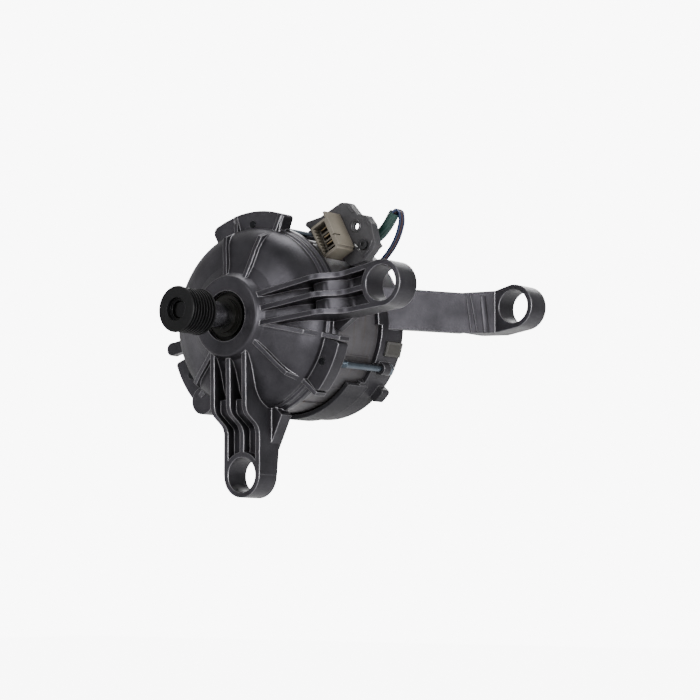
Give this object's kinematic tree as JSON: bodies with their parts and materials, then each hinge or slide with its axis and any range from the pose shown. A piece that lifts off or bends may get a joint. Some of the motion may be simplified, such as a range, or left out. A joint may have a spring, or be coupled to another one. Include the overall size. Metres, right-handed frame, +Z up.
{
  "type": "washing machine motor",
  "caption": "Belt drive commutator motor for a washing machine: cast shields with arms and eyes, grooved pulley, laminated stator, brush gear, connector and leads.",
  "frame": {"origin": "middle of the front pivot eye, on the axis that both pivot eyes share", "axes": "+Y along the shaft from the pulley to the rear, +X from the shaft towards the pivot eyes, +Z up, away from the adjuster eye"},
  "size_m": [0.1819, 0.2068, 0.1709],
  "materials": {
    "cast_shield": "satin",
    "lamination": "satin",
    "copper": "satin",
    "bright_copper": "satin",
    "liner_film": "matte",
    "dark_resin": "matte",
    "ground_steel": "satin",
    "black_iron": "satin",
    "black_rubber": "matte",
    "ferrite": "matte",
    "zinc_steel": "satin",
    "bracket_plastic": "matte",
    "cream_plastic": "matte",
    "tinned_brass": "satin",
    "green_sleeving": "satin",
    "blue_lead": "satin",
    "red_lead": "satin",
    "navy_lead": "satin",
    "cage_plastic": "matte",
    "holder_resin": "matte",
    "carbon": "matte"
  },
  "bodies": {
    "housing": {"bracket_screw": "zinc_steel", "brush_cap_left": "tinned_brass", "brush_cap_right": "tinned_brass", "brush_holder_left": "holder_resin", "brush_holder_right": "holder_resin", "brush_spring_left": "ground_steel", "brush_spring_right": "ground_steel", "connector_contacts": "tinned_brass", "connector_housing": "cream_plastic", "field_coil_bottom": "copper", "field_coil_top": "copper", "front_bearing_outer_ring": "ground_steel", "front_bearing_seals": "black_rubber", "front_shield": "cast_shield", "green_sleeve": "green_sleeving", "lead_blue": "blue_lead", "lead_navy": "navy_lead", "lead_red": "red_lead", "rear_bearing_outer_ring": "ground_steel", "rear_bearing_seals": "black_rubber", "rear_shield": "cast_shield", "sensor_cap": "dark_resin", "sensor_coil": "copper", "slot_liners": "liner_film", "spring_washer": "ground_steel", "stator_core": "lamination", "terminal_bracket": "bracket_plastic", "through_bolts": "zinc_steel"},
    "rotor": {"shaft": "ground_steel", "pulley": "black_iron", "slinger": "black_rubber", "armature_core": "lamination", "armature_windings": "copper", "commutator_bars": "bright_copper", "commutator_hub": "dark_resin", "front_bearing_inner_ring": "ground_steel", "rear_bearing_inner_ring": "ground_steel", "sensor_magnet": "ferrite"},
    "front_ball_set": {"front_bearing_balls": "ground_steel", "front_bearing_cage": "cage_plastic"},
    "rear_ball_set": {"rear_bearing_balls": "ground_steel", "rear_bearing_cage": "cage_plastic"},
    "right_brush": {"brush_right": "carbon"},
    "left_brush": {"brush_left": "carbon"}
  },
  "joints": [
    {"name": "rotor_spin", "type": "hinge", "parent": "housing", "child": "rotor", "pos_m": [-0.098, 0, -0.013], "axis": [0, 1, 0], "continuous": true},
    {"name": "front_ball_set_spin", "type": "hinge", "parent": "housing", "child": "front_ball_set", "pos_m": [-0.098, 0, -0.013], "axis": [0, 1, 0], "continuous": true},
    {"name": "rear_ball_set_spin", "type": "hinge", "parent": "housing", "child": "rear_ball_set", "pos_m": [-0.098, 0, -0.013], "axis": [0, 1, 0], "continuous": true},
    {"name": "right_brush_slide", "type": "slide", "parent": "housing", "child": "right_brush", "axis": [0.9613, 0, -0.2756], "range_m": [0, 0.005], "stiffness_N_per_m": 90, "springref_m": -0.004, "deforming": ["brush_spring_right"]},
    {"name": "left_brush_slide", "type": "slide", "parent": "housing", "child": "left_brush", "axis": [-0.9613, 0, 0.2756], "range_m": [0, 0.005], "stiffness_N_per_m": 90, "springref_m": -0.004, "deforming": ["brush_spring_left"]}
  ],
  "couplings": [
    {"joint": "front_ball_set_spin", "follows": "rotor_spin", "ratio": 0.384},
    {"joint": "rear_ball_set_spin", "follows": "rotor_spin", "ratio": 0.3733}
  ]
}
